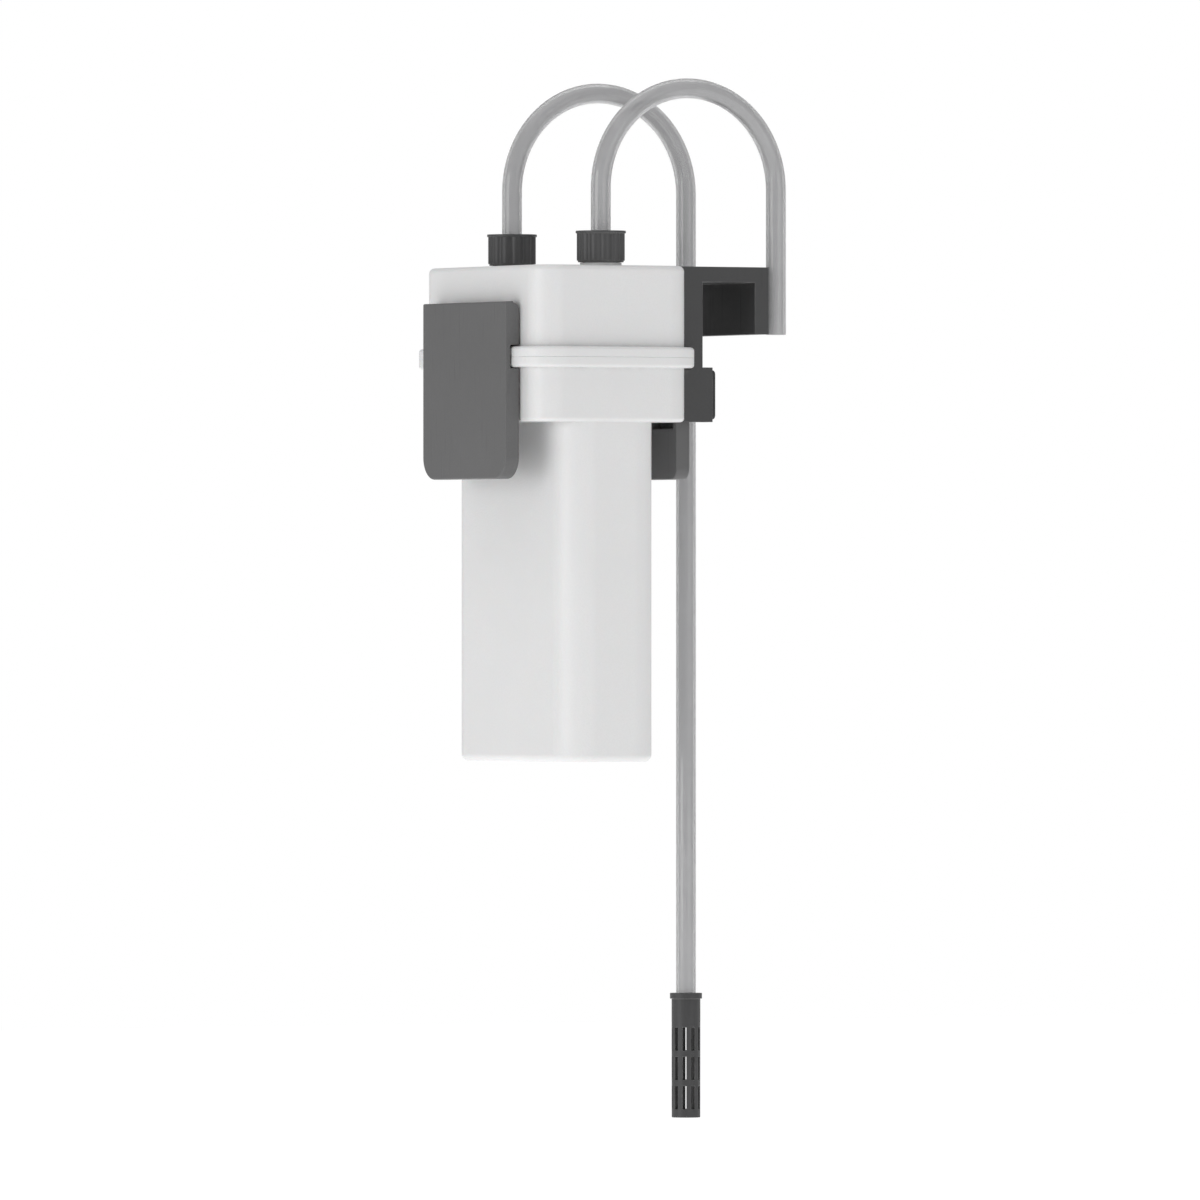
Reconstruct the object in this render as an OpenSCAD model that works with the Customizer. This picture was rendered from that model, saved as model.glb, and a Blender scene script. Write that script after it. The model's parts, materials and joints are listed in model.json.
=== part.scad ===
// Small hang-on canister filter. A pump head closes a stepped canister, two
// latches hold them together, and rigid U-shaped pipes reach over the tank's rim.
// Millimetres, +Z up, +Y into the tank. The origin is on the underside of the
// hanger's bar, midway across the slot that takes the tank's rim.

/* [Case] */
// Width of the head and the collar, along X
case_w = 89; // [88:1:96]
// Depth of the head and the collar, along Y
case_d = 63; // [62:1:68]
// Radius of the upright corners of the head and the collar
case_r = 10; // [9:0.5:12]
// Height of the head above the flange
head_h = 29; // [28:1:32]
// Height of the flange that the head and the canister share
flange_h = 7.4; // [7:0.2:8]
// How far the flange stands out from the case
flange_out = 3.6; // [3.2:0.1:3.6]
// Height of the collar between the flange and the tub
collar_h = 19.3; // [18:0.1:24]
// Thickness of the case's walls
wall = 2.6; // [2.4:0.1:2.8]

/* [Tub] */
// Width of the narrow lower canister, along X
tub_w = 87; // [86:1:88]
// Depth of the narrow lower canister, along Y
tub_d = 39; // [38:1:44]
// Height of the lower canister
tub_h = 121; // [115:1:150]
// Radius of its upright corners
tub_r = 12; // [11:1:13]

/* [Latches] */
// Width of each latch
latch_w = 61; // [56:1:61]
// Height of each latch
latch_h = 63; // [56:1:68]
// Distance from the head's top down to the latches
latch_drop = 13; // [12.8:0.1:13.4]
// Radius of the front latch's lower corners
front_latch_r = 8; // [5:1:12]
// Radius of the rear latch's lower corners
rear_latch_r = 4; // [2:1:12]
// Radius of the hinge pins
pin_r = 1; // [0.8:0.1:1]

/* [Pipes] */
// Distance of each port from the head's centre
port_x = 32.5; // [32:0.1:33]
// Outer radius of the pipes
pipe_r = 3.55; // [3.4:0.05:3.6]
// Inner radius of the pipes
pipe_bore_r = 2.6; // [2.2:0.1:2.7]
// Radius of the pipes' bend, at the centreline
bend_r = 36; // [35:0.5:40]
// Height of the bend's centre above the head
bend_z = 27.7; // [22:0.1:40]
// Depth of the intake pipe's end below the head's top
intake_depth = 269; // [220:1:300]
// Depth of the outlet pipe's end below the head's top
outlet_depth = 24; // [14:1:40]

/* [Union nuts] */
// Radius of the nuts over their ribs
nut_r = 8.75; // [8.4:0.05:8.8]
// Height of the nuts
nut_h = 11.2; // [11:0.1:12]
// Number of grip ribs round each nut
nut_ribs = 12; // [8:1:16]

/* [Strainer] */
// Outer radius of the strainer
strainer_r = 5.2; // [5:0.1:7]
// Length of the strainer
strainer_h = 45; // [40:1:50]
// Number of slots round the strainer
strainer_slots = 10; // [8:1:12]

/* [Hanger] */
// Width of the slot for the tank's rim
rim_w = 16; // [15:0.5:16]
// Thickness of the bar that rests on the rim
bar_t = 5.5; // [5:0.1:6]
// Half of the hanger's width
hanger_x = 36.5; // [36:0.1:38]
// Distance from the case's back to the tank's glass
foot_reach = 13.5; // [13:0.1:14]
// Depth of the hook inside the tank, below the head's top
hook_drop = 24; // [18:1:28]

/* [Pump] */
// Radius of the rotor's magnet
rotor_r = 7.4; // [6.8:0.1:7.4]
// Radius of the impeller's blades
blade_r = 10.5; // [9:0.5:11]
// Number of impeller blades
blade_count = 6; // [4:1:8]

/* [Hidden] */

$fn = 64;
eps = 0.01;
run_gap = 0.05;       // radial clearance of a running fit
slide_gap = 0.3;      // clearance between faces that move past each other

shell_white = [0.86, 0.87, 0.88];
latch_grey = [0.42, 0.43, 0.44];
dark_grey = [0.22, 0.23, 0.24];
smoke_grey = [0.6, 0.62, 0.64, 0.7];
steel_grey = [0.72, 0.73, 0.75];
rubber_black = [0.1, 0.1, 0.11];
inner_grey = [0.5, 0.52, 0.54];

// Levels, measured from the head's top face
flange_top = -head_h;
seam_z = flange_top - flange_h / 2;
flange_low = flange_top - flange_h;
collar_low = flange_low - collar_h;
tub_low = collar_low - tub_h;
latch_top = -latch_drop;
latch_low = latch_top - latch_h;

// Case
back_y = case_d / 2;
inner_w = case_w - 2 * wall;
inner_d = case_d - 2 * wall;
inner_r = case_r - wall;
flange_edge = 1.2;
head_edge = 2;
collar_edge = 1.5;
tub_edge = 2.5;
glass_y = back_y + foot_reach;
hook_y = glass_y + rim_w;
case_y = -(glass_y + rim_w / 2);
case_z = bar_t;

// Latches: an outer skin with side cheeks, a hook and a hinge bar
latch_back = back_y + 0.5;
latch_t = 5.7;
latch_face = latch_back + latch_t;
latch_skin = 1.8;
cheek_t = 2.2;
pivot_y = back_y + 2.9;
pivot_z = latch_top - 2.8;
hinge_bar_low = pivot_z - 3.2;
hook_h = 3.6;
lug_r = 2;
pin_stop = 1.6;
tab_top = collar_low - 2;
lug_w = 5;
lug_x = 20.5;
lug_notch_skin = 1;

// Ports
neck_r = 5.6;
neck_h = 9;
neck_base_r = 7.4;
post_r = 5.2;
socket_depth = 8;
duct_r = 2.6;
nut_z = 1.2;
nut_top_t = 1.4;
nut_lip = 0.2;
rib_rise = 0.6;
rib_r = 0.9 * PI * nut_r / nut_ribs + 0.34;

// Pump deck, hung under the head and plugged into the canister's mouth
deck_gap = 0.4;
deck_t = 3;
deck_top = seam_z + deck_t;
deck_w = inner_w - 2 * deck_gap;
deck_d = inner_d - 2 * deck_gap;
deck_r = inner_r - deck_gap;
skirt_h = 6.3;
skirt_t = 4;
seal_r = 1.5;
seal_z = seam_z - 3.3;
groove_depth = 2.7;
groove_h = 3.2;
boss_x = inner_w / 2 - 5.4;
boss_y = inner_d / 2 - 5.4;
boss_r = 3.2;
screw_r = 1.25;
screw_head_r = 2.5;
screw_head_h = 1.6;

// Rotor well and motor
well_r = rotor_r + 0.5;
well_wall = 0.7;
well_top = -11.1;
shaft_r = 1;
core_x = well_r + well_wall + 0.6;
core_leg = 6;
core_low = -27;
core_high = -13;
yoke_y = -24;
yoke_t = 6;
coil_margin = 2.4;
bobbin_t = 1;

// Pump chamber
cup_r = 15;
cup_wall = 2.5;
cup_h = 11;
cup_floor = 2;
eye_r = 5.5;
spider_r = 2.9;
bush_r = 1.9;
channel_r = 2.9;
channel_wall = 1.6;
cover_screws_at = [[0, 18], [19, -10], [-19, -10]];
cover_boss_r = 2.6;

// Hanger
hanger_screws_x = [-14, 14];
hanger_screw_z = -8.6;
hanger_plate_t = 3;
hanger_plate_low = -11.4;
cheek_x = latch_w / 2 + 0.5;
cheek_y = back_y + 8;
foot_top = flange_low + 0.4;
foot_low = collar_low + 0.2;
hook_t = 5.7;
pad_t = 1.4;

// Cord gland
gland_y = 8;
gland_z = -14;
gland_neck_r = 3.3;
gland_bore_r = 2.5;

// Media
tube_r = 4.4;
tube_bore_r = 3.3;
basket_x0 = -26;
basket_x1 = tub_w / 2 - wall - 0.7;
basket_d = tub_d - 2 * wall - 2.4;
basket_low = tub_low + wall + 0.3;
basket_h = 112;
basket_wall = 1.6;
basket_r = tub_r - wall - 0.4;
media_gap = 0.3;
sponge_h = 30;
pad_h = 18;
ring_r = 4.5;
ring_bore_r = 2.2;
ring_h = 9;
ring_step = 9.3;
ring_layers = 4;
sponge_z = basket_low + basket_wall + media_gap;
rings_z = sponge_z + sponge_h + media_gap;
pad_z = rings_z + ring_layers * (ring_h + media_gap) + media_gap;

// ---------- shared shapes ----------

// Places what is drawn from the head's top centre into the filter's own frame
module at_case() {
    translate([0, case_y, case_z]) children();
}

// Flat rounded rectangle
module round_rect(w, d, r) {
    square([w - 2 * r, d], center = true);
    square([w, d - 2 * r], center = true);
    for (x = [-1, 1], y = [-1, 1])
        translate([x * (w / 2 - r), y * (d / 2 - r)]) circle(r);
}

// Upright block with rounded corners, from z = 0 down to -h
module block(w, d, r, h) {
    translate([0, 0, -h]) linear_extrude(h) round_rect(w, d, r);
}

// Side view of half a block, with its upper outer edge rounded by e
module edge_profile(half, e, h) {
    translate([0, -h]) square([half - e, h]);
    translate([0, -h]) square([half, h - e]);
    translate([half - e, -e]) circle(e);
}

// Block whose upper edge is rounded by e all the way round
module soft_block(w, d, r, e, h) {
    for (x = [-1, 1])
        translate([0, (r - d / 2)]) rotate([90, 0, 180])
            linear_extrude(d - 2 * r) scale([x, 1]) edge_profile(w / 2, e, h);
    for (y = [-1, 1])
        translate([r - w / 2, 0]) rotate([90, 0, 90])
            linear_extrude(w - 2 * r) scale([y, 1]) edge_profile(d / 2, e, h);
    for (x = [-1, 1], y = [-1, 1])
        translate([x * (w / 2 - r), y * (d / 2 - r)])
            rotate([0, 0, (x > 0 ? (y > 0 ? 0 : 270) : (y > 0 ? 90 : 180))])
                rotate_extrude(angle = 90) edge_profile(r, e, h);
}

// The same block upside down, standing on z = 0 with its lower edge rounded
module soft_foot(w, d, r, e, h) {
    mirror([0, 0, 1]) soft_block(w, d, r, e, h);
}

// Ring from z to z + h
module tube(z, h, outer, inner) {
    difference() {
        translate([0, 0, z]) cylinder(h = h, r = outer);
        translate([0, 0, z - 1]) cylinder(h = h + 2, r = inner);
    }
}

// Solid cylinder from z to z + h
module post(z, h, r) {
    translate([0, 0, z]) cylinder(h = h, r = r);
}

// Box between two corners
module box(low, high) {
    translate(low) cube(high - low);
}

// Pan-head screw pointing up, its head's seat at z = 0
module screw(length) {
    post(-eps, length + eps, screw_r);
    difference() {
        post(-screw_head_h, screw_head_h, screw_head_r);
        for (a = [0, 90])
            rotate(a) box([-1.6, -0.35, -screw_head_h - 1], [1.6, 0.35, -screw_head_h + 0.8]);
    }
}

// ---------- case ----------

module canister_body() {
    color(shell_white) at_case() difference() {
        union() {
            translate([0, 0, flange_low])
                soft_foot(case_w + 2 * flange_out, case_d + 2 * flange_out,
                          case_r + flange_out, flange_edge, seam_z - flange_low);
            translate([0, 0, collar_low])
                soft_foot(case_w, case_d, case_r, collar_edge, seam_z - collar_low);
            translate([0, 0, tub_low])
                soft_foot(tub_w, tub_d, tub_r, tub_edge, tub_h + 1);
        }
        translate([0, 0, seam_z + 1])
            block(inner_w, inner_d, inner_r, seam_z + 1 - collar_low - wall);
        translate([0, 0, collar_low + wall + 1])
            block(tub_w - 2 * wall, tub_d - 2 * wall, tub_r - wall, tub_h + 1);
    }
}

// Ears that carry a latch's pin, drawn for the front
module latch_lugs() {
    for (x = [-lug_x, lug_x])
        translate([x - lug_w / 2, -pivot_y, pivot_z]) {
            rotate([0, 90, 0]) cylinder(h = lug_w, r = lug_r);
            box([0, 0, -1.6], [lug_w, pivot_y - back_y + 1, 1.6]);
        }
}

module head_housing() {
    color(shell_white) at_case() difference() {
        union() {
            difference() {
                union() {
                    soft_block(case_w, case_d, case_r, head_edge, -seam_z);
                    translate([0, 0, flange_top])
                        soft_block(case_w + 2 * flange_out, case_d + 2 * flange_out,
                                   case_r + flange_out, flange_edge, flange_h / 2);
                }
                translate([0, 0, -wall])
                    block(inner_w, inner_d, inner_r, -seam_z - wall + 1);
            }
            for (x = [-port_x, port_x])
                translate([x, 0, 0]) {
                    post(deck_top, neck_h - deck_top, post_r);
                    post(-wall, neck_h + wall, neck_r);
                    post(-wall, 1 + wall, neck_base_r);
                }
            for (x = [-boss_x, boss_x], y = [-boss_y, boss_y])
                translate([x, y, 0]) post(deck_top, -wall - deck_top + 1, boss_r);
            for (a = [0, 180])
                rotate(a) latch_lugs();
        }
        for (x = [-port_x, port_x])
            translate([x, 0, 0]) {
                post(-socket_depth, 40, pipe_r + run_gap);
                post(deck_top - 1, 30, duct_r);
            }
        for (x = [-boss_x, boss_x], y = [-boss_y, boss_y])
            translate([x, y, deck_top - 1]) post(0, 14, screw_r);
        for (y = [-pivot_y, pivot_y])
            translate([-40, y, pivot_z]) rotate([0, 90, 0]) cylinder(h = 80, r = pin_r);
        for (x = hanger_screws_x)
            translate([x, back_y - 3, hanger_screw_z])
                rotate([-90, 0, 0]) cylinder(h = 6, r = screw_r);
        translate([-case_w / 2 - 1, gland_y, gland_z])
            rotate([0, 90, 0]) cylinder(h = 6, r = gland_neck_r);
    }
}

// Round-section ring whose path is a rounded rectangle
module case_seal() {
    run_x = inner_w / 2 - seal_r;
    run_y = inner_d / 2 - seal_r;
    turn = inner_r - seal_r;
    color(rubber_black) at_case() translate([0, 0, seal_z]) {
        for (y = [-run_y, run_y])
            translate([turn - run_x, y, 0])
                rotate([0, 90, 0]) cylinder(h = 2 * (run_x - turn), r = seal_r);
        for (x = [-run_x, run_x])
            translate([x, run_y - turn, 0])
                rotate([90, 0, 0]) cylinder(h = 2 * (run_y - turn), r = seal_r);
        for (i = [0:3])
            translate([(i == 0 || i == 3 ? 1 : -1) * (run_x - turn),
                       (i < 2 ? 1 : -1) * (run_y - turn), 0])
                rotate(90 * i) rotate_extrude(angle = 90)
                    translate([turn, 0]) circle(seal_r);
    }
}

// ---------- latches ----------

// Latch outline, seen from the front, with its lower corners rounded by r
module latch_outline(r) {
    translate([-latch_w / 2, latch_low + r]) square([latch_w, latch_h - r]);
    translate([-latch_w / 2 + r, latch_low]) square([latch_w - 2 * r, r + 1]);
    for (x = [-1, 1])
        translate([x * (latch_w / 2 - r), latch_low + r]) circle(r);
}

// One latch on the front face: a hollow upper part with ribs, a hook under the flange,
// a hinge bar along its top and a solid finger tab below
module latch(r) {
    difference() {
        union() {
            difference() {
                translate([0, -latch_back, 0]) rotate([90, 0, 0])
                    linear_extrude(latch_t) latch_outline(r);
                box([cheek_t - latch_w / 2, -latch_face + latch_skin, tab_top],
                    [latch_w / 2 - cheek_t, -latch_back + 1, hinge_bar_low]);
            }
            for (x = [-12, 12])
                box([x - 0.8, -latch_face + 1, tab_top - 1],
                    [x + 0.8, -latch_back, hinge_bar_low + 1]);
            box([-latch_w / 2 + 1, -latch_face + 1, flange_low - 0.25 - hook_h],
                [latch_w / 2 - 1, -latch_back, flange_low - 0.25]);
        }
        box([-latch_w, -back_y - flange_out - 0.4, flange_low - 0.25],
            [latch_w, -back_y + 1, flange_top + 0.5]);
        for (x = [-lug_x, lug_x])
            box([x - lug_w / 2 - 0.4, -latch_face + lug_notch_skin, pivot_z - 3],
                [x + lug_w / 2 + 0.4, -latch_back + 1, latch_top + 1]);
        difference() {
            box([-latch_w, -pivot_y, pivot_z], [latch_w, -latch_back + 1, latch_top + 1]);
            translate([-latch_w - 1, -pivot_y, pivot_z]) rotate([0, 90, 0])
                cylinder(h = 2 * latch_w + 2, r = pivot_y - latch_back);
        }
        translate([-latch_w, -pivot_y, pivot_z]) rotate([0, 90, 0])
            cylinder(h = 1.5 * latch_w - pin_stop, r = pin_r + run_gap);
    }
}

module front_latch() {
    color(latch_grey) at_case() latch(front_latch_r);
}

module rear_latch() {
    color(latch_grey) at_case() rotate(180) latch(rear_latch_r);
}

// Hinge pin of the front latch, pushed in from -X as far as the blind end of its bore
module latch_pin() {
    translate([1 - latch_w / 2, -pivot_y, pivot_z])
        rotate([0, 90, 0]) cylinder(h = latch_w - pin_stop - 1.2, r = pin_r);
}

module front_latch_pin() {
    color(steel_grey) at_case() latch_pin();
}

module rear_latch_pin() {
    color(steel_grey) at_case() rotate(180) latch_pin();
}

// ---------- pipes and ports ----------

// A union nut: broad grip ribs with grooves between, a thin top lip, and a hole for the pipe
module nut() {
    difference() {
        union() {
            post(nut_z, nut_h, nut_r - rib_rise);
            for (i = [0:nut_ribs - 1])
                rotate(360 / nut_ribs * (i + 0.5)) translate([nut_r - rib_r, 0, 0])
                    post(nut_z + 0.6, nut_h - 1.4, rib_r);
            post(nut_z + nut_h - 0.9, 0.9, nut_r + nut_lip);
        }
        post(nut_z - 1, nut_h - nut_top_t + 1, neck_r + run_gap);
        post(nut_z, nut_h + 2, pipe_r + 0.1);
    }
}

module inlet_nut() {
    color(dark_grey) at_case() translate([-port_x, 0, 0]) nut();
}

module outlet_nut() {
    color(dark_grey) at_case() translate([port_x, 0, 0]) nut();
}

// Rubber ring that the nut squeezes onto the pipe
module pipe_seal() {
    ceiling = nut_z + nut_h - nut_top_t;
    tube(neck_h, ceiling - neck_h - 0.1, neck_r - 0.3, pipe_r);
}

module inlet_pipe_seal() {
    color(rubber_black) at_case() translate([-port_x, 0, 0]) pipe_seal();
}

module outlet_pipe_seal() {
    color(rubber_black) at_case() translate([port_x, 0, 0]) pipe_seal();
}

// Solid core of a U-pipe of radius r, from a port over the rim and down
module pipe_run(r, start, depth) {
    post(start, bend_z - start, r);
    translate([0, bend_r, bend_z]) rotate([90, 0, 90])
        rotate_extrude(angle = 180) translate([bend_r, 0]) circle(r);
    translate([0, 2 * bend_r, 0]) post(-depth, bend_z + depth, r);
}

module u_pipe(depth) {
    start = 0.6 - socket_depth;
    difference() {
        pipe_run(pipe_r, start, depth);
        translate([0, 0, -1]) post(start, bend_z - start + 1, pipe_bore_r);
        translate([0, bend_r, bend_z]) rotate([90, 0, 90])
            rotate_extrude(angle = 180) translate([bend_r, 0]) circle(pipe_bore_r);
        translate([0, 2 * bend_r, -1]) post(-depth, bend_z + depth + 1, pipe_bore_r);
    }
}

module intake_pipe() {
    color(smoke_grey) at_case() translate([-port_x, 0, 0]) u_pipe(intake_depth);
}

module outlet_pipe() {
    color(smoke_grey) at_case() translate([port_x, 0, 0]) u_pipe(outlet_depth);
}

// Slotted basket pushed onto the intake's end
module intake_strainer() {
    sleeve = 8;
    top = sleeve - intake_depth;
    rows = 3;
    slot_h = 8.4;
    slot_step = 10.6;
    color(dark_grey) at_case() translate([-port_x, 2 * bend_r, 0]) difference() {
        union() {
            post(top - strainer_h, strainer_h, strainer_r);
            post(top - 2, 2, strainer_r + 0.6);
        }
        post(-intake_depth, 2 * sleeve, pipe_r + run_gap);
        post(top - strainer_h + 1.6, strainer_h - 1.6 - sleeve - 1, strainer_r - 1.3);
        post(top - strainer_h + 1.6, strainer_h, pipe_bore_r);
        for (i = [0:strainer_slots - 1], k = [0:rows - 1])
            rotate(360 / strainer_slots * i)
                translate([0, 0, top - strainer_h + 3 + slot_step * k])
                    box([strainer_r - 2, -0.7, 0], [strainer_r + 1, 0.7, slot_h]);
    }
}

// ---------- hanger ----------

module hanger_bracket() {
    color(dark_grey) at_case() difference() {
        union() {
            box([-hanger_x, back_y, -bar_t], [hanger_x, hook_y + hook_t, 0]);
            box([-hanger_x, back_y, -bar_t - 0.3], [hanger_x, cheek_y, 0]);
            box([-hanger_x, back_y, hanger_plate_low],
                [hanger_x, back_y + hanger_plate_t, -bar_t + 1]);
            box([-hanger_x, hook_y, -hook_drop], [hanger_x, hook_y + hook_t, 0]);
            for (s = [0, 1])
                mirror([s, 0, 0]) {
                    box([cheek_x, back_y + 0.3, foot_low], [hanger_x, cheek_y, -bar_t + 1]);
                    box([cheek_x, cheek_y - 1, foot_low], [hanger_x, glass_y - pad_t, foot_top]);
                }
        }
        box([-case_w, back_y - 1, flange_low - slide_gap],
            [case_w, back_y + flange_out + slide_gap, flange_top + slide_gap]);
        for (x = hanger_screws_x)
            translate([x, back_y - 1, hanger_screw_z])
                rotate([-90, 0, 0]) cylinder(h = hanger_plate_t + 2, r = screw_r + 0.2);
    }
}

module hanger_screws() {
    color(steel_grey) at_case()
        for (x = hanger_screws_x)
            translate([x, back_y + hanger_plate_t, hanger_screw_z])
                rotate([90, 0, 0]) screw(hanger_plate_t + wall - 0.4);
}

module glass_pads() {
    mid_x = (cheek_x + hanger_x) / 2;
    mid_z = (foot_top + foot_low) / 2;
    color(rubber_black) at_case()
        for (x = [-mid_x, mid_x])
            translate([x, glass_y - pad_t, mid_z]) rotate([-90, 0, 0])
                linear_extrude(pad_t)
                    round_rect(hanger_x - cheek_x - 0.6, foot_top - foot_low - 2, 1.6);
}

// ---------- cord gland ----------

module cord_gland() {
    color(rubber_black) at_case() translate([-case_w / 2, gland_y, gland_z])
        rotate([0, 90, 0]) difference() {
            union() {
                translate([0, 0, -7]) cylinder(h = 7, r1 = 3.6, r2 = 4.8);
                post(-eps, wall + 2 * eps, gland_neck_r);
                post(wall, 1.5, 4.6);
            }
            post(-8, wall + 12, gland_bore_r);
        }
}

// ---------- pump deck ----------

module pump_deck() {
    color(inner_grey) at_case() difference() {
        union() {
            difference() {
                translate([0, 0, deck_top]) block(deck_w, deck_d, deck_r, deck_t + skirt_h);
                translate([0, 0, seam_z])
                    block(deck_w - 2 * skirt_t, deck_d - 2 * skirt_t,
                          deck_r - skirt_t, skirt_h + 1);
            }
            post(seam_z, well_top - seam_z + 1.2, well_r + well_wall);
            for (at = cover_screws_at)
                translate([at[0], at[1], 0]) post(seam_z, deck_t + 4, cover_boss_r);
            translate([-port_x, 0, 0]) post(seam_z - 9, 10, tube_bore_r - run_gap);
        }
        difference() {
            translate([0, 0, seal_z + groove_h / 2])
                block(deck_w + 2, deck_d + 2, deck_r + 1, groove_h);
            translate([0, 0, seal_z + groove_h])
                block(deck_w - 2 * groove_depth, deck_d - 2 * groove_depth,
                      deck_r - groove_depth, 2 * groove_h);
        }
        post(seam_z - 1, well_top - seam_z + 1, well_r);
        for (x = [-port_x, port_x])
            translate([x, 0, 0]) post(seam_z - 12, 20, x < 0 ? duct_r - 0.2 : duct_r);
        for (x = [-boss_x, boss_x], y = [-boss_y, boss_y])
            translate([x, y, 0]) {
                post(seam_z - 1, 6, screw_r + 0.2);
                post(seam_z - skirt_h - 1, skirt_h + 2, screw_head_r + 0.3);
            }
        for (at = cover_screws_at)
            translate([at[0], at[1], 0]) post(seam_z - 1, 7, screw_r);
    }
}

module deck_screws() {
    color(steel_grey) at_case()
        for (x = [-boss_x, boss_x], y = [-boss_y, boss_y])
            translate([x, y, seam_z + 1]) screw(13);
}

// ---------- motor ----------

module stator_core() {
    outer_x = core_x + core_leg;
    color(steel_grey) at_case() {
        for (s = [0, 1])
            mirror([s, 0, 0])
                box([core_x, yoke_y, core_low], [outer_x, well_r, core_high]);
        box([-core_x, yoke_y, core_low], [core_x, yoke_y + yoke_t, core_high]);
    }
}

// Box round the stator's yoke, g outside it, between -x and x
module yoke_box(x, g) {
    box([-x, yoke_y - g, core_low - g], [x, yoke_y + yoke_t + g, core_high + g]);
}

module coil_bobbin() {
    x = core_x - 0.3;
    color(inner_grey) at_case() difference() {
        union() {
            yoke_box(x, 0.2 + bobbin_t);
            for (side = [-1, 1])
                intersection() {
                    yoke_box(x, coil_margin);
                    translate([side * (x - bobbin_t / 2), 0, 0])
                        cube([bobbin_t, 200, 200], center = true);
                }
        }
        yoke_box(x + 1, 0.2);
    }
}

module coil_winding() {
    x = core_x - 0.3 - bobbin_t;
    color([0.72, 0.4, 0.2]) at_case() difference() {
        yoke_box(x, coil_margin - 0.4);
        yoke_box(x + 1, 0.2 + bobbin_t);
    }
}

module rotor_magnet() {
    color(dark_grey) at_case() tube(-28, 14.2, rotor_r, 3);
}

module impeller() {
    hub_low = seam_z - 7.4;
    color([0.3, 0.45, 0.6]) at_case() difference() {
        union() {
            post(-28, 14.2, 3);
            post(-29.6, 1.6, rotor_r);
            post(hub_low, -29 - hub_low, 4);
            for (i = [0:blade_count - 1])
                rotate(360 / blade_count * i)
                    box([2, -0.6, hub_low], [blade_r, 0.6, seam_z - 1]);
        }
        post(-80, 80, shaft_r + run_gap);
    }
}

module impeller_shaft() {
    low = seam_z - cup_h + 0.6;
    color([0.95, 0.95, 0.92]) at_case() post(low, well_top - low, shaft_r);
}

module upper_shaft_bush() {
    color(rubber_black) at_case() tube(well_top - 2.2, 2.2, 2.6, shaft_r);
}

module lower_shaft_bush() {
    color(rubber_black) at_case() tube(seam_z - cup_h, 2.6, bush_r, shaft_r);
}

// ---------- pump chamber ----------

module pump_cover() {
    floor_z = seam_z - cup_h;
    end_x = port_x + channel_r + channel_wall - 0.3;
    color(inner_grey) at_case() difference() {
        union() {
            difference() {
                union() {
                    post(floor_z, cup_h, cup_r);
                    box([0, -channel_r - channel_wall, floor_z], [end_x, channel_r + channel_wall, seam_z]);
                    for (at = cover_screws_at) {
                        translate([at[0], at[1], 0]) post(seam_z - 4, 4, cover_boss_r + 0.8);
                        rotate(atan2(at[1], at[0]))
                            box([cup_r - 2, -2, seam_z - 4], [norm(at), 2, seam_z]);
                    }
                }
                post(floor_z + cup_floor, cup_h, cup_r - cup_wall);
                box([0, -channel_r, floor_z + cup_floor], [port_x, channel_r, seam_z - 1.4]);
                translate([port_x, 0, 0]) post(floor_z + cup_floor, cup_h, channel_r);
                post(floor_z - 1, cup_h, eye_r);
            }
            for (i = [0:2])
                rotate(120 * i)
                    box([0, -0.8, floor_z], [eye_r + 0.5, 0.8, floor_z + cup_floor]);
            post(floor_z, 2.6, spider_r);
        }
        post(floor_z - 1, cup_h, bush_r);
        for (at = cover_screws_at)
            translate([at[0], at[1], 0]) post(seam_z - 5, 6, screw_r + 0.2);
    }
}

module pump_cover_screws() {
    color(steel_grey) at_case()
        for (at = cover_screws_at)
            translate([at[0], at[1], seam_z - 4]) screw(9);
}

// ---------- inside the tub ----------

module drop_tube() {
    color(smoke_grey) at_case() translate([-port_x, 0, 0])
        difference() {
            tube(tub_low + 9, seam_z - tub_low - 9.3, tube_r, tube_bore_r);
            for (a = [0, 90])
                rotate(a) box([-8, -2, tub_low + 8], [8, 2, tub_low + 14]);
        }
}

// Block inside the basket, inset by g, from z up to z + h
module basket_block(g, z, h) {
    w = basket_x1 - basket_x0 - 2 * g;
    translate([(basket_x0 + basket_x1) / 2, 0, z + h])
        block(w, basket_d - 2 * g, basket_r - g, h);
}

module media_basket() {
    rim_z = basket_low + basket_h;
    mid_x = (basket_x0 + basket_x1) / 2;
    half = (basket_x1 - basket_x0) / 2;
    color(inner_grey) at_case() {
        difference() {
            basket_block(0, basket_low, basket_h);
            basket_block(basket_wall, basket_low + basket_wall, basket_h);
            for (i = [-4:4], row = [0:2])
                translate([mid_x + 5.6 * i, 0, basket_low + 12 + 32 * row])
                    box([-1.1, -basket_d, 0], [1.1, basket_d, 24]);
            for (i = [-5:5])
                translate([mid_x + 5 * i, 0, basket_low - 1])
                    box([-1.1, -10, 0], [1.1, 10, basket_wall + 2]);
        }
        for (side = [-1, 1])
            translate([mid_x + side * (half - basket_wall / 2), 0, rim_z])
                box([-basket_wall / 2, -3, -basket_wall], [basket_wall / 2, 3, 8]);
        translate([mid_x, 0, rim_z + 8])
            box([-half, -3, 0], [half, 3, 2]);
    }
}

module coarse_sponge() {
    color([0.25, 0.35, 0.5]) at_case() basket_block(basket_wall + media_gap, sponge_z, sponge_h);
}

module ceramic_rings() {
    mid_x = (basket_x0 + basket_x1) / 2;
    color([0.9, 0.86, 0.78]) at_case()
        for (i = [-2.5:2.5], j = [-1:1], k = [0:ring_layers - 1])
            translate([mid_x + ring_step * i, ring_step * j, 0])
                tube(rings_z + (ring_h + media_gap) * k, ring_h, ring_r, ring_bore_r);
}

module fine_pad() {
    color([0.95, 0.95, 0.93]) at_case() basket_block(basket_wall + media_gap, pad_z, pad_h);
}

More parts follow.
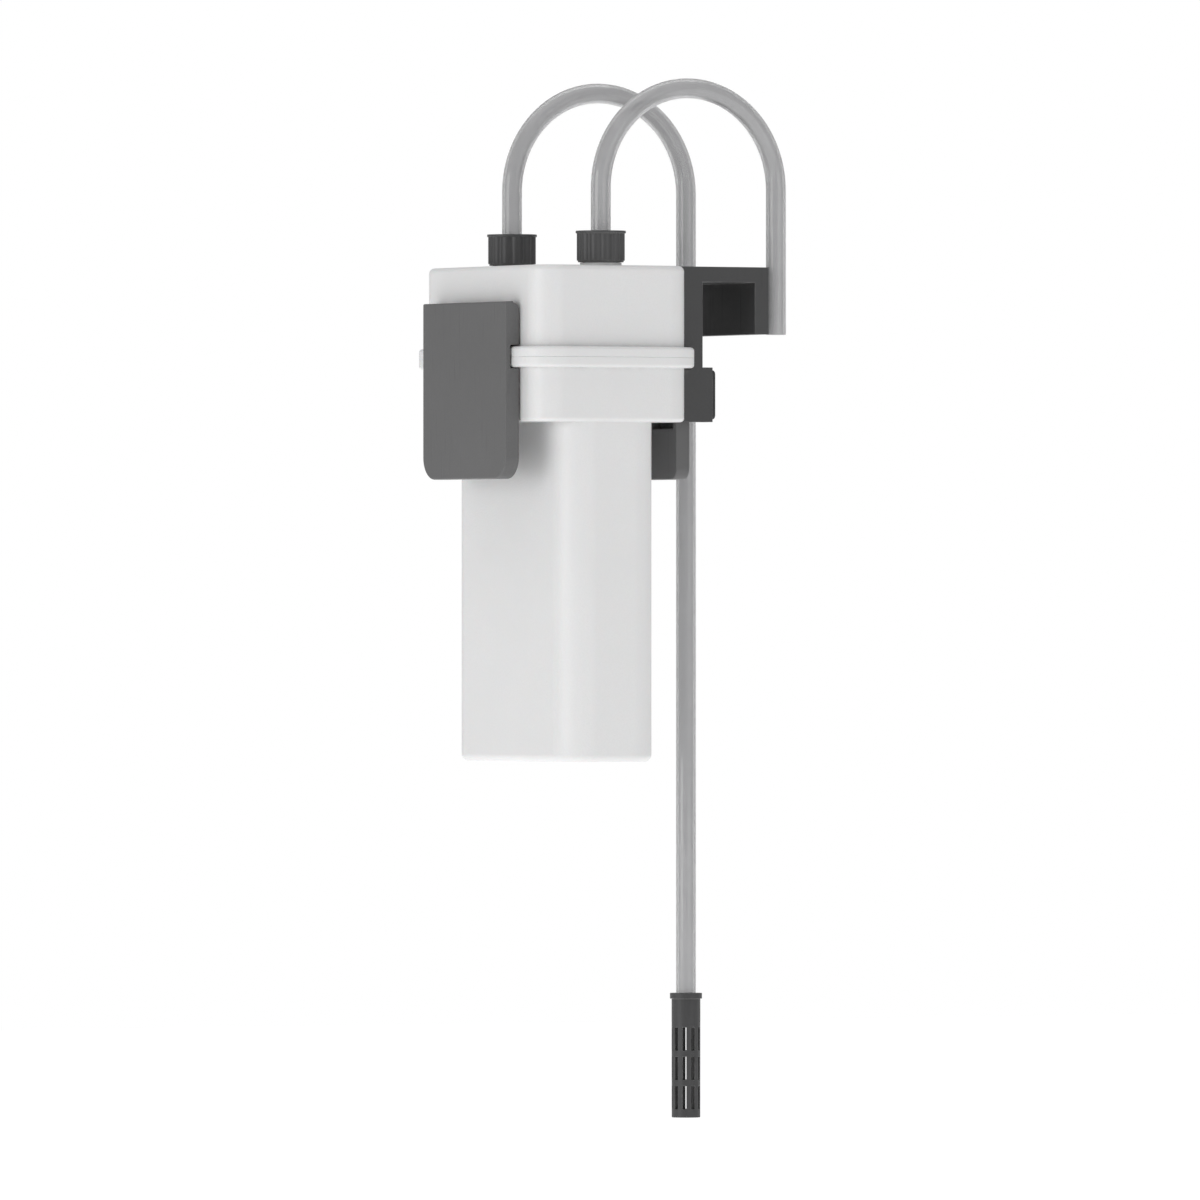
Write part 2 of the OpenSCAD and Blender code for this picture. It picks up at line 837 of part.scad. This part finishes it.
canister_body();
head_housing();
pump_deck();
case_seal();
deck_screws();
front_latch();
rear_latch();
front_latch_pin();
rear_latch_pin();
inlet_nut();
outlet_nut();
inlet_pipe_seal();
outlet_pipe_seal();
intake_pipe();
outlet_pipe();
intake_strainer();
hanger_bracket();
hanger_screws();
glass_pads();
cord_gland();
stator_core();
coil_bobbin();
coil_winding();
rotor_magnet();
impeller();
impeller_shaft();
upper_shaft_bush();
lower_shaft_bush();
pump_cover();
pump_cover_screws();
drop_tube();
media_basket();
coarse_sponge();
ceramic_rings();
fine_pad();
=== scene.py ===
import json
import math
import random

import bmesh
import bpy
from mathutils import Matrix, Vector
from mathutils import noise as field


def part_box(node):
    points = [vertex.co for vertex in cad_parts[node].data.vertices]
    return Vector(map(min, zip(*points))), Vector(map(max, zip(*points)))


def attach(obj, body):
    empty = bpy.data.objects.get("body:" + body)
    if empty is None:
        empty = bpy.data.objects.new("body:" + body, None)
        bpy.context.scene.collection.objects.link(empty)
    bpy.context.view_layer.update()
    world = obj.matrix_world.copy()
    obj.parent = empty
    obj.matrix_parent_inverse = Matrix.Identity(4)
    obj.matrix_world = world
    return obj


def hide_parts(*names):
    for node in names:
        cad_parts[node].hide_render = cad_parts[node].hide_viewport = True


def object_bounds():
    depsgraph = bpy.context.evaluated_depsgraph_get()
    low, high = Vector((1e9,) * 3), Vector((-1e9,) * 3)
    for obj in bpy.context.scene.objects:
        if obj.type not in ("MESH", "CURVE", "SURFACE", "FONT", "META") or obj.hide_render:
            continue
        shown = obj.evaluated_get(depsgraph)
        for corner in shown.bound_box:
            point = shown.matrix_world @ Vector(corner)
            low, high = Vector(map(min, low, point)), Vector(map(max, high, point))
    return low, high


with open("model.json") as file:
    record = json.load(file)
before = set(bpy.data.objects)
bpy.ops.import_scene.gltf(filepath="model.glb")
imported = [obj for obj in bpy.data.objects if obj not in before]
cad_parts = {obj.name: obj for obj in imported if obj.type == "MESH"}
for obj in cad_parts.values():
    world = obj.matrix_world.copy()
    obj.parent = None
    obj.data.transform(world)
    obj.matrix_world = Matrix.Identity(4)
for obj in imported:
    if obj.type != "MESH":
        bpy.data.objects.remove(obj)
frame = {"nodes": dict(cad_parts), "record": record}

CAD_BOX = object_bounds()
MM = 0.001

# ---------------------------------------------------------------- camera


HEAD_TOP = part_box("hanger_bracket")[1].z
CASE_LOW, CASE_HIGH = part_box("canister_body")
AXIS_Y = (CASE_LOW.y + CASE_HIGH.y) / 2
FLOOR_Z = CAD_BOX[0][2] - 30 * MM
AIM = Vector((0, AXIS_Y + 18 * MM, HEAD_TOP - 119 * MM))
AZIMUTH = math.radians(60.6)
EYE_HEIGHT = HEAD_TOP - 130 * MM
DISTANCE = 5.9
FIELD = 0.43
TOWARDS_CAMERA = Vector((math.sin(AZIMUTH), -math.cos(AZIMUTH), 0))
ACROSS = Vector((math.cos(AZIMUTH), math.sin(AZIMUTH), 0))
UP = Vector((0, 0, 1))


def make_camera():
    """A long lens, level, with the horizon just below the head, as in the photograph."""
    camera = bpy.data.objects.new("camera", bpy.data.cameras.new("camera"))
    bpy.context.scene.collection.objects.link(camera)
    spot = AIM + TOWARDS_CAMERA * DISTANCE
    spot.z = EYE_HEIGHT
    camera.location = spot
    camera.rotation_euler = (math.radians(90), 0, AZIMUTH)
    camera.data.sensor_width = 36
    camera.data.lens = 36 * DISTANCE / FIELD
    camera.data.shift_y = (AIM.z - EYE_HEIGHT) / FIELD
    camera.data.clip_end = 60
    bpy.context.scene.camera = camera


make_camera()

# ---------------------------------------------------------------- shader helper

EDGE_SAMPLES = 6


class Shader:
    """A Principled material, with a short method for each kind of node it needs."""

    def __init__(self, name):
        self.name = name
        self.material = bpy.data.materials.new(name)
        self.material.use_nodes = True
        self.tree = self.material.node_tree
        self.bsdf = self.tree.nodes["Principled BSDF"]
        self.coords = self.node("ShaderNodeTexCoord").outputs["Object"]

    def node(self, kind, **values):
        """A node, with each value set on the input of that name, or else on the node itself."""
        made = self.tree.nodes.new(kind)
        for key, value in values.items():
            if key in made.inputs:
                made.inputs[key].default_value = value
            else:
                setattr(made, key, value)
        return made

    def link(self, output, target):
        self.tree.links.new(output, target)

    def feed(self, socket, output):
        self.link(output, self.bsdf.inputs[socket])

    def place(self, stretch):
        """Object coordinates in metres, scaled by stretch."""
        mapping = self.node("ShaderNodeMapping")
        mapping.inputs["Scale"].default_value = stretch
        self.link(self.coords, mapping.inputs["Vector"])
        return mapping.outputs["Vector"]

    def noise(self, scale, detail=3.0, roughness=0.5, stretch=(1, 1, 1)):
        """Noise whose features are about 1 / scale metres across."""
        made = self.node("ShaderNodeTexNoise", Scale=scale, Detail=detail, Roughness=roughness)
        self.link(self.place(stretch), made.inputs["Vector"])
        return made.outputs["Fac"]

    def cells(self, scale, feature="F1"):
        """Distance to the points, or to the borders, of cells about 1 / scale metres across."""
        made = self.node("ShaderNodeTexVoronoi", feature=feature, Scale=scale)
        self.link(self.place((1, 1, 1)), made.inputs["Vector"])
        return made.outputs["Distance"]

    def bands(self, period, axis):
        """Straight parallel bands across one axis, period metres apart."""
        made = self.node("ShaderNodeTexWave", wave_type="BANDS", bands_direction=axis)
        period_at_scale_1 = math.pi / 10
        made.inputs["Scale"].default_value = period_at_scale_1 / period
        self.link(self.coords, made.inputs["Vector"])
        return made.outputs["Fac"]

    def ramp(self, factor, *stops):
        """A colour or grey ramp: each stop is (position, grey or colour)."""
        made = self.node("ShaderNodeValToRGB")
        elements = made.color_ramp.elements
        while len(elements) < len(stops):
            elements.new(0.5)
        for element, (position, value) in zip(elements, stops):
            element.position = position
            element.color = (*value, 1) if isinstance(value, tuple) else (value, value, value, 1)
        self.link(factor, made.inputs["Fac"])
        return made.outputs["Color"]

    def mix(self, factor, first, second):
        """Mixes two colours, each an output or a plain colour, by an output."""
        factor_in, first_in, second_in, color_out = 0, 6, 7, 2
        made = self.node("ShaderNodeMix", data_type="RGBA")
        for value, index in ((first, first_in), (second, second_in)):
            if isinstance(value, tuple):
                made.inputs[index].default_value = (*value, 1)
            else:
                self.link(value, made.inputs[index])
        self.link(factor, made.inputs[factor_in])
        return made.outputs[color_out]

    def math(self, operation, first, second):
        """One operation on two values, each an output or a plain number."""
        made = self.node("ShaderNodeMath", operation=operation)
        for value, index in ((first, 0), (second, 1)):
            if isinstance(value, (int, float)):
                made.inputs[index].default_value = value
            else:
                self.link(value, made.inputs[index])
        return made.outputs[0]

    def bump(self, *heights, edge=0.0):
        """Chains bumps, each (output, depth in metres, strength), over edges rounded by edge metres."""
        normal = None
        if edge:
            normal = self.node("ShaderNodeBevel", samples=EDGE_SAMPLES, Radius=edge).outputs["Normal"]
        for height, distance, strength in heights:
            made = self.node("ShaderNodeBump", Distance=distance, Strength=strength)
            self.link(height, made.inputs["Height"])
            if normal is not None:
                self.link(normal, made.inputs["Normal"])
            normal = made.outputs["Normal"]
        self.feed("Normal", normal)

    def set(self, **values):
        """Sets sockets to constants: Coat_Weight is the socket Coat Weight."""
        for key, value in values.items():
            self.bsdf.inputs[key.replace("_", " ")].default_value = value

    def edges(self, width):
        """1 along edges, 0 elsewhere, broken up by noise. width is in metres."""
        rounded = self.node("ShaderNodeBevel", samples=EDGE_SAMPLES, Radius=width)
        plain = self.node("ShaderNodeNewGeometry")
        dot = self.node("ShaderNodeVectorMath", operation="DOT_PRODUCT")
        self.link(rounded.outputs["Normal"], dot.inputs[0])
        self.link(plain.outputs["Normal"], dot.inputs[1])
        edge = self.ramp(dot.outputs["Value"], (0.88, 1.0), (0.985, 0.0))
        patches = self.ramp(self.noise(260, 5), (0.38, 0.2), (0.62, 1.0))
        return self.math("MULTIPLY", edge, patches)

    def recesses(self, reach):
        """1 deep in corners and slots, where ambient occlusion finds shade, 0 in the open. reach is in
        metres.
        """
        made = self.node("ShaderNodeAmbientOcclusion", samples=8, Distance=reach)
        return self.ramp(made.outputs["AO"], (0.25, 1.0), (0.8, 0.0))


def shade(color, factor):
    """The colour made lighter or darker, kept within 0 to 1."""
    return tuple(max(0.0, min(1.0, c * factor)) for c in color)


# ---------------------------------------------------------------- materials


def moulded(name, color, roughness, spread=0.05, wear=0.12, corner_dust_and_shade=0.25, depth=0.06):
    """Moulded plastic: a grain of depth millimetres, flow clouds, rubbed edges, and greyed corners,
    which are pale dust on dark plastic and painted shade on pale plastic.

    spread is how far its shade wanders, wear how pale its edges are, and the corner weight how far its
    corners turn grey (dust on dark plastic, painted shade on pale plastic)."""
    s = Shader(name)
    texture = s.noise(1500, 3, 0.6)
    clouds = s.ramp(s.noise(24, 4), (0.3, shade(color, 1 - spread)), (0.7, shade(color, 1 + spread)))
    speckle = s.ramp(texture, (0.35, 0.7), (0.6, 0.0))
    base = s.mix(speckle, clouds, shade(color, 1 - 1.6 * spread))
    rubbed = tuple(c + (1 - c) * wear for c in color)
    base = s.mix(s.edges(0.5 * MM), base, rubbed)
    # Corners and slots, found by ambient occlusion, are mixed towards grey: pale dust on the dark
    # plastics, painted shade on the white shell.
    dust = s.math("MULTIPLY", s.recesses(4 * MM), s.ramp(s.noise(420, 4), (0.35, 0.3), (0.65, 1.0)))
    dust_and_shade_color = (0.30, 0.29, 0.27)
    s.feed("Base Color", s.mix(s.math("MULTIPLY", dust, corner_dust_and_shade), base, dust_and_shade_color))
    smudges = s.ramp(s.noise(70, 5, 0.6), (0.3, roughness - 0.06), (0.75, roughness + 0.08))
    scuffs = s.ramp(s.noise(1100, 2, 0.4, (1, 0.3, 0.04)), (0.62, 0.0), (0.7, 0.14))
    s.feed("Roughness", s.math("ADD", smudges, scuffs))
    s.bump((texture, depth * MM, 0.6), (s.noise(80, 2), 0.06 * MM, 0.1), edge=0.4 * MM)
    return s


def white_shell():
    # The white shell's corners are greyed more strongly than the other plastics': painted shade.
    s = moulded("white_shell", (0.728, 0.728, 0.73), 0.36, spread=0.017, corner_dust_and_shade=0.35, depth=0.11)
    s.set(Subsurface_Weight=0.05, Subsurface_Scale=0.002)
    return s


def clear_tube(name, color, transmission):
    """Extruded clear plastic: fine draw lines along it, faint haze and water marks."""
    s = Shader(name)
    lines = s.noise(1400, 2, 0.4, (1, 1, 0.02))
    s.feed("Base Color", s.ramp(lines, (0.3, shade(color, 0.94)), (0.7, shade(color, 1.04))))
    s.feed("Roughness", s.ramp(s.noise(120, 5, 0.65), (0.4, 0.09), (0.8, 0.24)))
    s.bump((lines, 0.01 * MM, 0.25), (s.noise(45, 2), 0.05 * MM, 0.15))
    s.set(Transmission_Weight=transmission, IOR=1.49)
    return s


def rubber(name, color, roughness):
    """Moulded rubber: matt, slightly dimpled, with a pale bloom of dust in the corners."""
    s = Shader(name)
    base = s.ramp(s.noise(160, 5), (0.3, shade(color, 0.8)), (0.72, shade(color, 1.35)))
    s.feed("Base Color", s.mix(s.math("MULTIPLY", s.recesses(3 * MM), 0.3), base, (0.22, 0.21, 0.2)))
    s.feed("Roughness", s.ramp(s.noise(500, 3), (0.3, roughness - 0.08), (0.7, roughness + 0.1)))
    s.bump((s.cells(1500), 0.03 * MM, 0.35), (s.noise(300, 3), 0.04 * MM, 0.25))
    s.set(Sheen_Weight=0.12, Sheen_Roughness=0.5)
    return s


def turned_metal(name, color, roughness, lay):
    """Bright metal, darkened in its corners as painted shade, with fine tool marks, which lay stretches
    along one axis.
    """
    s = Shader(name)
    marks = s.noise(2600, 3, 0.6, lay)
    base = s.ramp(marks, (0.3, shade(color, 0.86)), (0.7, shade(color, 1.06)))
    # Corners found by ambient occlusion are darkened in colour: painted shade.
    s.feed("Base Color", s.mix(s.recesses(1.2 * MM), base, shade(color, 0.35)))
    s.feed("Roughness", s.ramp(marks, (0.3, roughness - 0.08), (0.7, roughness + 0.1)))
    s.bump((marks, 0.008 * MM, 0.4))
    s.set(Metallic=1.0)
    return s


def laminated_steel():
    """A stack of half-millimetre sheets, punched and slightly rusty at the edges."""
    s = Shader("core_steel")
    sheets = s.bands(0.5 * MM, "Z")
    base = s.ramp(sheets, (0.1, (0.10, 0.095, 0.09)), (0.5, (0.42, 0.42, 0.43)))
    rust = s.ramp(s.noise(350, 5, 0.7), (0.56, 0.0), (0.72, 0.55))
    s.feed("Base Color", s.mix(rust, base, (0.22, 0.10, 0.045)))
    s.feed("Roughness", s.ramp(s.noise(700, 4), (0.3, 0.34), (0.7, 0.6)))
    s.bump((sheets, 0.05 * MM, 0.6))
    s.set(Metallic=0.85)
    return s


def enamelled_wire():
    s = Shader("winding_wire")
    base = s.ramp(s.noise(900, 4), (0.3, (0.36, 0.11, 0.03)), (0.7, (0.62, 0.24, 0.075)))
    s.feed("Base Color", base)
    s.feed("Roughness", s.ramp(s.noise(1500, 3), (0.3, 0.2), (0.7, 0.34)))
    s.bump((s.noise(2500, 2), 0.01 * MM, 0.3))
    s.set(Metallic=0.7, Coat_Weight=0.8, Coat_Roughness=0.12)
    return s


def ferrite():
    s = Shader("magnet")
    base = s.ramp(s.noise(800, 6, 0.7), (0.3, (0.03, 0.03, 0.032)), (0.75, (0.075, 0.073, 0.07)))
    s.feed("Base Color", base)
    s.feed("Roughness", s.ramp(s.noise(400, 5), (0.3, 0.4), (0.7, 0.62)))
    chips = s.ramp(s.cells(700), (0.0, 0.0), (0.12, 1.0))
    s.bump((s.noise(3000, 3), 0.015 * MM, 0.5), (chips, 0.05 * MM, 0.5))
    return s


def ceramic(name, color, roughness, pore):
    """Fired ceramic: polished where pore is 0, open and grainy towards 1."""
    s = Shader(name)
    clouds = s.ramp(s.noise(240, 5, 0.6), (0.3, shade(color, 0.86)), (0.7, shade(color, 1.05)))
    # The pits are painted darker as well as sunk by the bump: painted shade in the pores.
    pits = s.ramp(s.cells(1700), (0.1, 1.0), (0.3, 0.0))
    s.feed("Base Color", s.mix(s.math("MULTIPLY", pits, 0.6 * pore), clouds, shade(color, 0.45)))
    s.feed("Roughness", s.ramp(s.noise(600, 4), (0.3, roughness - 0.05), (0.7, roughness + 0.08)))
    s.bump((s.noise(2600, 4, 0.7), 0.05 * MM, 0.15 + 0.6 * pore), (pits, -0.12 * MM, 0.7 * pore))
    return s


def open_foam():
    """Coarse open-cell foam: pale strands round cells painted dark towards their middles as painted
    shade.
    """
    s = Shader("sponge_foam")
    cells = s.cells(760, "DISTANCE_TO_EDGE")
    # The cells darken from their strands to near black in their middles: painted shade inside the open
    # cells.
    strand, wall, hollow = (0.075, 0.115, 0.19), (0.02, 0.032, 0.055), (0.003, 0.005, 0.009)
    base = s.ramp(cells, (0.03, strand), (0.15, wall), (0.42, hollow))
    tint = s.ramp(s.noise(60, 4), (0.4, 0.0), (0.75, 0.35))
    s.feed("Base Color", s.mix(tint, base, (0.09, 0.085, 0.06)))
    s.feed("Roughness", s.ramp(cells, (0.0, 0.62), (0.2, 0.95)))
    s.bump((s.ramp(cells, (0.0, 1.0), (0.3, 0.0)), 0.8 * MM, 1.0))
    s.set(Sheen_Weight=0.2)
    return s


def floss():
    """White polyester wadding: crossing fibres with soft hollows."""
    s = Shader("pad_floss")
    across = s.noise(2400, 3, 0.6, (0.06, 1, 1))
    along = s.noise(2400, 3, 0.6, (1, 0.06, 1))
    fibres = s.math("MAXIMUM", across, along)
    base = s.ramp(fibres, (0.42, (0.56, 0.56, 0.54)), (0.66, (0.86, 0.86, 0.84)))
    stain = s.ramp(s.noise(70, 5, 0.6), (0.5, 0.0), (0.8, 0.4))
    s.feed("Base Color", s.mix(stain, base, (0.52, 0.47, 0.36)))
    s.feed("Roughness", s.ramp(fibres, (0.3, 0.95), (0.7, 0.78)))
    s.bump((fibres, 0.35 * MM, 0.8), (s.noise(180, 4), 0.8 * MM, 0.5))
    s.set(Sheen_Weight=0.5, Sheen_Roughness=0.6)
    return s


SHADERS = [
    white_shell(),
    moulded("latch_plastic", (0.109, 0.109, 0.110), 0.46),
    moulded("nut_plastic", (0.0505, 0.0505, 0.0515), 0.42, wear=0.10),
    moulded("hanger_plastic", (0.041, 0.041, 0.042), 0.46),
    moulded("strainer_plastic", (0.037, 0.037, 0.038), 0.45),
    moulded("inner_plastic", (0.20, 0.21, 0.22), 0.5),
    moulded("impeller_plastic", (0.07, 0.13, 0.24), 0.38, wear=0.08),
    clear_tube("pipe_plastic", (0.64, 0.64, 0.645), 0.74),
    clear_tube("tube_plastic", (0.67, 0.67, 0.675), 0.8),
    rubber("seal_rubber", (0.017, 0.017, 0.018), 0.6),
    rubber("pad_rubber", (0.024, 0.024, 0.025), 0.72),
    turned_metal("screw_steel", (0.60, 0.61, 0.62), 0.3, (1, 0.06, 1)),
    turned_metal("pin_steel", (0.62, 0.63, 0.64), 0.24, (0.04, 1, 1)),
    laminated_steel(),
    enamelled_wire(),
    ferrite(),
    ceramic("shaft_ceramic", (0.84, 0.84, 0.80), 0.16, pore=0.0),
    ceramic("ring_ceramic", (0.74, 0.68, 0.56), 0.85, pore=1.0),
    open_foam(),
    floss(),
]
MATERIALS = {shader.name: shader.material for shader in SHADERS}


def paint_nodes():
    """Gives each CAD node the material of its slot in the record."""
    for part in frame["record"]["subparts"]:
        mesh = frame["nodes"][part["node"]].data
        mesh.materials.clear()
        mesh.materials.append(MATERIALS[part["material_slot"]])


paint_nodes()

# ---------------------------------------------------------------- edges of the CAD nodes

# Radius of each node's rounded edges, in millimetres
EDGE_RADII = {
    "front_latch": 0.5, "rear_latch": 0.5, "hanger_bracket": 0.6, "head_housing": 0.35,
    "canister_body": 0.35, "inlet_nut": 0.15, "outlet_nut": 0.15, "intake_strainer": 0.15,
    "glass_pads": 0.3, "cord_gland": 0.3, "ceramic_rings": 0.4, "hanger_screws": 0.12,
    "stator_core": 0.15, "media_basket": 0.2, "impeller": 0.15,
}
# Nodes whose edges take the whole radius even beside very short edges
UNCLAMPED = ("front_latch", "rear_latch")


def soften(name, radius):
    """Rounds a node's sharp edges in its modifiers, which leave its own mesh as it is."""
    shape = frame["nodes"][name]
    weld = shape.modifiers.new("weld", "WELD")
    weld.merge_threshold = 0.002 * MM
    flat = shape.modifiers.new("flat_faces", "DECIMATE")
    flat.decimate_type = "DISSOLVE"
    flat.angle_limit = math.radians(0.2)
    bevel = shape.modifiers.new("soft_edges", "BEVEL")
    bevel.width = radius
    bevel.segments = 3
    bevel.use_clamp_overlap = name not in UNCLAMPED
    bevel.limit_method = "ANGLE"
    bevel.angle_limit = math.radians(32)
    normals = shape.modifiers.new("face_normals", "WEIGHTED_NORMAL")
    normals.weight = 60


for node_name, millimetres in EDGE_RADII.items():
    soften(node_name, millimetres * MM)

# ---------------------------------------------------------------- pieces that replace CAD nodes


def add_piece(name, mesh, node, body):
    """Turns a bmesh into a piece that stands for a CAD node and moves with a body."""
    data = bpy.data.meshes.new(name)
    bmesh.ops.recalc_face_normals(mesh, faces=mesh.faces)
    mesh.to_mesh(data)
    mesh.free()
    for face in data.polygons:
        face.use_smooth = True
    piece = bpy.data.objects.new(name, data)
    bpy.context.scene.collection.objects.link(piece)
    slot = next(p["material_slot"] for p in frame["record"]["subparts"] if p["node"] == node)
    data.materials.append(MATERIALS[slot])
    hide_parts(node)
    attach(piece, body)
    return piece


def rounded_loop(half_x, half_y, radius, spacing):
    """Points round a rounded rectangle about the origin, evenly spaced to about spacing."""
    points = []
    straight_x = 2 * (half_x - radius)
    straight_y = 2 * (half_y - radius)
    corner = math.pi * radius / 2
    for turn, run in enumerate((straight_y, straight_x, straight_y, straight_x)):
        start = math.radians(90 * turn)
        along = Vector((-math.sin(start), math.cos(start)))
        out = Vector((math.cos(start), math.sin(start)))
        reach = half_x if turn % 2 == 0 else half_y
        steps = max(1, round(run / spacing))
        for i in range(steps):
            points.append(out * reach + along * (run * i / steps - run / 2))
        centre = out * (reach - radius) + along * (run / 2)
        bends = max(3, round(corner / spacing))
        for i in range(bends):
            a = start + math.pi / 2 * i / bends
            points.append(centre + Vector((math.cos(a), math.sin(a))) * radius)
    return points


def soft_pad(node, corner, edge, spacing, relief):
    """A block of foam in a node's own space: rounded all over, its surface worked by relief(point).

    relief gives how far a point sinks in, in metres."""
    low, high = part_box(node)
    half_x, half_y = (high.x - low.x) / 2, (high.y - low.y) / 2
    centre = (low + high) / 2
    height = high.z - low.z
    mesh = bmesh.new()

    def ring(inset, z):
        loop = rounded_loop(half_x, half_y, corner, spacing)
        keep_x, keep_y = 1 - inset / half_x, 1 - inset / half_y
        return [mesh.verts.new((centre.x + p.x * keep_x, centre.y + p.y * keep_y, z)) for p in loop]

    cap_steps = 12
    insets = [half_y * k / cap_steps for k in range(cap_steps - 1, 2, -1)]
    caps = [(inset, 0.0) for inset in insets if inset > edge]
    turns = [math.radians(15 * k) for k in range(7)]
    bend = [(edge * (1 - math.sin(t)), edge * (1 - math.cos(t))) for t in turns]
    side_steps = max(2, round((height - 2 * edge) / spacing))
    sides = [(0.0, edge + (height - 2 * edge) * k / side_steps) for k in range(1, side_steps)]
    lower = caps + bend
    upper = [(inset, height - up) for inset, up in reversed(lower)]
    rings = [ring(inset, low.z + up) for inset, up in lower + sides + upper]
    for first, second in zip(rings, rings[1:]):
        count = len(first)
        for i in range(count):
            mesh.faces.new((first[i], first[(i + 1) % count], second[(i + 1) % count], second[i]))
    for end in (rings[0], rings[-1]):
        mesh.faces.new(end)
    bmesh.ops.triangulate(mesh, faces=[f for f in mesh.faces if len(f.verts) > 4])
    mesh.normal_update()
    bmesh.ops.recalc_face_normals(mesh, faces=mesh.faces)
    moved = [(v, v.co - v.normal * relief(v.co)) for v in mesh.verts]
    for vertex, spot in moved:
        vertex.co = spot
    return mesh


def foam_relief(point):
    """Open cells about 2 mm across, with a soft unevenness under them."""
    distances, _ = field.voronoi(point / (1.9 * MM))
    strand = max(0.0, 1 - (distances[1] - distances[0]) * 2.2)
    swell = 0.5 + 0.5 * field.noise(point / (14 * MM))
    return (0.8 * (1 - strand) + 0.5 * swell) * MM


def floss_relief(point):
    """Loose fibres over slow hollows."""
    tuft = 0.5 + 0.5 * field.noise(point / (1.6 * MM))
    hollow = 0.5 + 0.5 * field.noise(point / (9 * MM) + Vector((7, 3, 1)))
    return (0.5 * tuft + 1.1 * hollow) * MM


def make_sponge():
    mesh = soft_pad("coarse_sponge", 6 * MM, 1.5 * MM, 0.6 * MM, foam_relief)
    add_piece("coarse_sponge_foam", mesh, "coarse_sponge", "filter")


def make_fine_pad():
    mesh = soft_pad("fine_pad", 6 * MM, 4 * MM, 0.9 * MM, floss_relief)
    add_piece("fine_pad_floss", mesh, "fine_pad", "filter")


def sweep(mesh, path, radius, sides):
    """A round wire along a path that never runs along X, closed at both ends."""
    rings = []
    for i, point in enumerate(path):
        before, after = path[max(0, i - 1)], path[min(len(path) - 1, i + 1)]
        along = (after - before).normalized()
        side = along.cross(Vector((1, 0, 0))).normalized()
        other = along.cross(side)
        turns = [2 * math.pi * k / sides for k in range(sides)]
        rings.append([mesh.verts.new(point + (side * math.cos(a) + other * math.sin(a)) * radius)
                      for a in turns])
    for first, second in zip(rings, rings[1:]):
        for k in range(sides):
            mesh.faces.new((first[k], first[(k + 1) % sides], second[(k + 1) % sides], second[k]))
    for end in (rings[0], rings[-1]):
        mesh.faces.new(end)


def make_winding():
    """One layer of enamelled wire, wound side by side round the bobbin."""
    low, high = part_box("coil_winding")
    wire = 0.36 * MM
    centre = (low + high) / 2
    half_y = (high.y - low.y) / 2 - wire
    half_z = (high.z - low.z) / 2 - wire
    loop = rounded_loop(half_y, half_z, 1.6 * MM, 2.5 * MM)
    turns = int((high.x - low.x - 2 * wire) / (2.04 * wire))
    pitch = (high.x - low.x - 2 * wire) / turns
    draw = random.Random(5)
    path = []
    for turn in range(turns):
        sway = draw.uniform(-0.03, 0.03) * MM
        for i, p in enumerate(loop):
            x = low.x + wire + pitch * (turn + i / len(loop)) + sway * math.sin(math.pi * i / len(loop))
            path.append(Vector((x, centre.y + p.x, centre.z + p.y)))
    mesh = bmesh.new()
    sweep(mesh, path, wire, 8)
    add_piece("coil_wire", mesh, "coil_winding", "filter")


make_sponge()
make_fine_pad()
make_winding()

# ---------------------------------------------------------------- stage and light


def make_floor():
    half = 2.4
    mesh = bmesh.new()
    corners = [(-half, -half), (half, -half), (half, half), (-half, half)]
    mesh.faces.new([mesh.verts.new((AIM.x + x, AIM.y + y, FLOOR_Z)) for x, y in corners])
    data = bpy.data.meshes.new("floor")
    mesh.to_mesh(data)
    mesh.free()
    floor = bpy.data.objects.new("floor", data)
    bpy.context.scene.collection.objects.link(floor)
    s = Shader("floor_paint")
    s.feed("Base Color", s.ramp(s.noise(3, 3), (0.3, 0.9), (0.7, 0.92)))
    s.feed("Roughness", s.ramp(s.noise(40, 3), (0.3, 0.8), (0.7, 0.9)))
    s.set(Emission_Color=(1, 1, 1, 1), Emission_Strength=0.56)
    data.materials.append(s.material)


def make_world(ambient):
    """A white room: plain white behind the object and through its clear parts, and softer as a light."""
    world = bpy.data.worlds.new("studio")
    world.use_nodes = True
    tree = world.node_tree
    soft = tree.nodes["Background"]
    soft.inputs["Strength"].default_value = ambient
    seen = tree.nodes.new("ShaderNodeBackground")
    for background in (soft, seen):
        background.inputs["Color"].default_value = (1, 1, 1, 1)
    path = tree.nodes.new("ShaderNodeLightPath")
    through = tree.nodes.new("ShaderNodeMath")
    through.operation = "MAXIMUM"
    tree.links.new(path.outputs["Is Camera Ray"], through.inputs[0])
    tree.links.new(path.outputs["Is Transmission Ray"], through.inputs[1])
    mix = tree.nodes.new("ShaderNodeMixShader")
    tree.links.new(through.outputs[0], mix.inputs[0])
    tree.links.new(soft.outputs[0], mix.inputs[1])
    tree.links.new(seen.outputs[0], mix.inputs[2])
    tree.links.new(mix.outputs[0], tree.nodes["World Output"].inputs["Surface"])
    bpy.context.scene.world = world


def area_light(name, spot, size, power):
    light = bpy.data.lights.new(name, "AREA")
    light.shape = "RECTANGLE"
    light.size, light.size_y = size
    light.energy = power
    lamp = bpy.data.objects.new(name, light)
    lamp.location = spot
    lamp.rotation_euler = (AIM - spot).to_track_quat("-Z", "Y").to_euler()
    bpy.context.scene.collection.objects.link(lamp)


def make_lights():
    make_world(ambient=0.46)
    area_light("top", AIM + UP * 2.2, (3.0, 3.0), 20)
    area_light("key", AIM + TOWARDS_CAMERA * 1.2 - ACROSS * 1.6 + UP * 0.1, (1.2, 1.2), 10.5)
    area_light("fill", AIM + TOWARDS_CAMERA * 1.6 + ACROSS * 1.3 + UP * 0.3, (1.4, 1.4), 4.8)


bpy.context.scene.view_settings.view_transform = "Standard"
make_floor()
make_lights()

bpy.context.view_layer.update()
